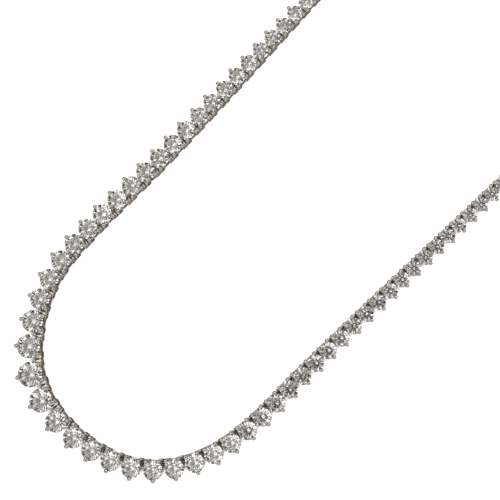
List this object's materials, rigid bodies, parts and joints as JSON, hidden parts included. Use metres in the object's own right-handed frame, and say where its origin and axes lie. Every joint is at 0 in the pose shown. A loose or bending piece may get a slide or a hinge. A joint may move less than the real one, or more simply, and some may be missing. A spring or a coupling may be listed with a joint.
{
  "type": "diamond necklace",
  "caption": "Line necklace of graduated round stones in three-prong settings hinged in a row, laid flat in a closed loop, with a box clasp at the back.",
  "frame": {"origin": "on the resting surface, under the middle of the laid-out loop", "axes": "+Z up, away from the surface the necklace lies on; the loop's long axis runs along Y, with the largest stones at its -Y end and the clasp at its +Y end; +X is the right arm's side seen from above with +Y upward"},
  "size_m": [0.0568, 0.1802, 0.0036],
  "materials": {
    "white_gold": "polished white gold",
    "diamond": "brilliant cut, polished"
  },
  "bodies": {
    "root": {"setting_01": "white_gold", "setting_02": "white_gold", "setting_03": "white_gold", "setting_04": "white_gold", "setting_05": "white_gold", "setting_06": "white_gold", "setting_07": "white_gold", "setting_08": "white_gold", "setting_09": "white_gold", "setting_10": "white_gold", "setting_11": "white_gold", "setting_12": "white_gold", "setting_13": "white_gold", "setting_14": "white_gold", "setting_15": "white_gold", "setting_16": "white_gold", "setting_17": "white_gold", "setting_18": "white_gold", "setting_19": "white_gold", "left_settings": "white_gold", "right_settings": "white_gold", "clasp": "white_gold", "diamond_01": "diamond", "diamond_02": "diamond", "diamond_03": "diamond", "diamond_04": "diamond", "diamond_05": "diamond", "diamond_06": "diamond", "diamond_07": "diamond", "diamond_08": "diamond", "diamond_09": "diamond", "diamond_10": "diamond", "diamond_11": "diamond", "diamond_12": "diamond", "diamond_13": "diamond", "diamond_14": "diamond", "diamond_15": "diamond", "diamond_16": "diamond", "diamond_17": "diamond", "diamond_18": "diamond", "diamond_19": "diamond", "left_diamonds": "diamond", "right_diamonds": "diamond"}
  },
  "joints": []
}
